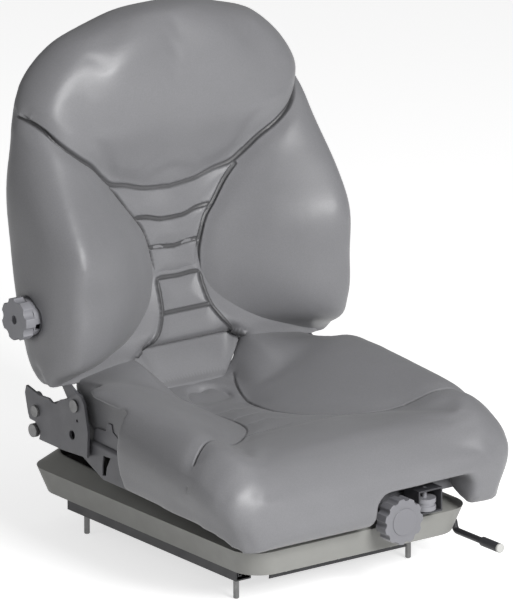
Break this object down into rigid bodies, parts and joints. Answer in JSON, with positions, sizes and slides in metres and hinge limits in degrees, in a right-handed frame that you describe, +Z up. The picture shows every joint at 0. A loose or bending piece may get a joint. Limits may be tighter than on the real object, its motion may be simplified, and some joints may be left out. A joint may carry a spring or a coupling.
{
  "type": "tractor seat",
  "caption": "Suspension seat with moulded cushions, reclining backrest, lumbar knob and front weight adjuster on sliding rails with mounting studs.",
  "frame": {"origin": "centre of the four mounting studs, in the plane of the underside of the slide rails", "axes": "+Z up, seat facing -Y, so +Y runs to the rear and +X to the sitter's left"},
  "size_m": [0.525, 0.572, 0.722],
  "materials": {
    "vinyl": "moulded grey vinyl skin over foam, soft sheen",
    "cover_plastic": "light warm-grey moulded plastic",
    "dark_plastic": "black grained plastic",
    "knob_plastic": "mid-grey plastic",
    "cap_plastic": "pale plastic",
    "frame_paint": "dark grey powder coat",
    "black_paint": "black powder coat",
    "zinc_steel": "zinc-plated steel",
    "spring_steel": "dark spring steel",
    "rubber": "black rubber"
  },
  "bodies": {
    "floor_rails": {"lower_rail_right": "black_paint", "lower_rail_left": "black_paint", "mounting_studs": "zinc_steel", "latch_rack": "black_paint"},
    "slide_carriage": {"upper_rail_right": "black_paint", "upper_rail_left": "black_paint", "rail_glides": "dark_plastic", "base_plate": "black_paint", "front_crossbar": "black_paint", "rear_crossbar": "black_paint", "crossbar_rivets": "zinc_steel", "suspension_cover": "cover_plastic", "pivot_lug_right": "black_paint", "pivot_lug_left": "black_paint", "pivot_axle": "zinc_steel", "axle_clip": "zinc_steel", "spring_base_seats": "black_paint", "buffer_towers": "black_paint", "buffer_rubbers": "rubber", "damper_lower_lugs": "black_paint", "lever_bracket": "black_paint", "spring_right": "spring_steel", "spring_left": "spring_steel"},
    "slide_lever": {"lever_rod": "black_paint", "latch_blade": "black_paint", "lever_grip": "dark_plastic", "lever_cap": "cap_plastic"},
    "seat_frame": {"seat_pan": "frame_paint", "pivot_arm_right": "frame_paint", "pivot_arm_left": "frame_paint", "pivot_bushes": "dark_plastic", "adjuster_bearing": "frame_paint", "spring_bar_guides": "zinc_steel", "indicator_housing": "dark_plastic", "damper_upper_lugs": "frame_paint", "side_bracket_right": "frame_paint", "side_bracket_left": "frame_paint", "recline_pins": "zinc_steel", "lock_bolts": "zinc_steel", "stop_rollers": "zinc_steel", "cushion_hooks": "frame_paint", "seat_cushion": "vinyl"},
    "weight_adjuster": {"weight_knob": "knob_plastic", "adjuster_screw": "zinc_steel"},
    "wedge_nut": {"preload_wedge": "frame_paint"},
    "spring_crosshead": {"spring_bar": "frame_paint"},
    "weight_indicator": {"indicator_drum": "cap_plastic"},
    "damper_body": {"damper_tube": "black_paint"},
    "damper_piston": {"damper_rod": "zinc_steel"},
    "backrest": {"back_arm_right": "frame_paint", "back_arm_left": "frame_paint", "back_pan": "frame_paint", "back_shell": "dark_plastic", "back_cushion": "vinyl", "lumbar_bezel": "knob_plastic", "lumbar_brackets": "frame_paint"},
    "lumbar_turner": {"lumbar_knob": "knob_plastic", "lumbar_shaft": "zinc_steel"},
    "lumbar_support": {"lumbar_plate": "dark_plastic"}
  },
  "joints": [
    {"name": "seat_slide", "type": "slide", "parent": "floor_rails", "child": "slide_carriage", "axis": [0, 1, 0], "range_m": [-0.075, 0.075]},
    {"name": "slide_release", "type": "hinge", "parent": "slide_carriage", "child": "slide_lever", "pos_m": [0.192, -0.06, 0.027], "axis": [-1, 0, 0], "range_deg": [0, 6], "stiffness_Nm_per_rad": 2, "springref_deg": -28.65},
    {"name": "suspension", "type": "hinge", "parent": "slide_carriage", "child": "seat_frame", "pos_m": [0, -0.225, 0.046], "axis": [1, 0, 0], "range_deg": [-5, 0], "stiffness_Nm_per_rad": 300, "springref_deg": 14.32, "deforming": ["spring_right", "spring_left"]},
    {"name": "weight_turn", "type": "hinge", "parent": "seat_frame", "child": "weight_adjuster", "pos_m": [0.042, -0.298, 0.074], "axis": [0, 1, 0], "range_deg": [-905, 905]},
    {"name": "wedge_travel", "type": "slide", "parent": "seat_frame", "child": "wedge_nut", "axis": [0, 1, 0], "range_m": [-0.0075, 0.0075]},
    {"name": "crosshead_travel", "type": "slide", "parent": "seat_frame", "child": "spring_crosshead", "axis": [0, 0, 1], "range_m": [-0.0013, 0.0013]},
    {"name": "indicator_turn", "type": "hinge", "parent": "seat_frame", "child": "weight_indicator", "pos_m": [0.095, -0.2735, 0.09], "axis": [0, 0, 1], "range_deg": [-40, 40]},
    {"name": "damper_swing", "type": "hinge", "parent": "slide_carriage", "child": "damper_body", "pos_m": [0, 0.06, 0.038], "axis": [1, 0, 0], "range_deg": [-14.28, 0.2]},
    {"name": "damper_stroke", "type": "slide", "parent": "damper_body", "child": "damper_piston", "axis": [0, 0.8277, 0.5612], "range_m": [-0.0129, 0.0002]},
    {"name": "recline", "type": "hinge", "parent": "seat_frame", "child": "backrest", "pos_m": [0, 0.109, 0.181], "axis": [1, 0, 0], "range_deg": [-10, 0]},
    {"name": "lumbar_turn", "type": "hinge", "parent": "backrest", "child": "lumbar_turner", "pos_m": [-0.256, 0.16, 0.302], "axis": [1, 0, 0], "range_deg": [0, 180]},
    {"name": "lumbar_swing", "type": "hinge", "parent": "backrest", "child": "lumbar_support", "pos_m": [0, 0.1445, 0.256], "axis": [1, 0, 0], "range_deg": [-0.2, 3]}
  ],
  "couplings": [
    {"joint": "weight_turn", "follows": "wedge_travel", "rad_per_m": 2094.4},
    {"joint": "crosshead_travel", "follows": "wedge_travel", "ratio": 0.15},
    {"joint": "indicator_turn", "follows": "wedge_travel", "rad_per_m": 83.776},
    {"joint": "damper_swing", "follows": "suspension", "ratio": 2.7963},
    {"joint": "damper_stroke", "follows": "suspension", "m_per_rad": 0.14235},
    {"joint": "lumbar_swing", "follows": "lumbar_turn", "ratio": 0.01522}
  ]
}
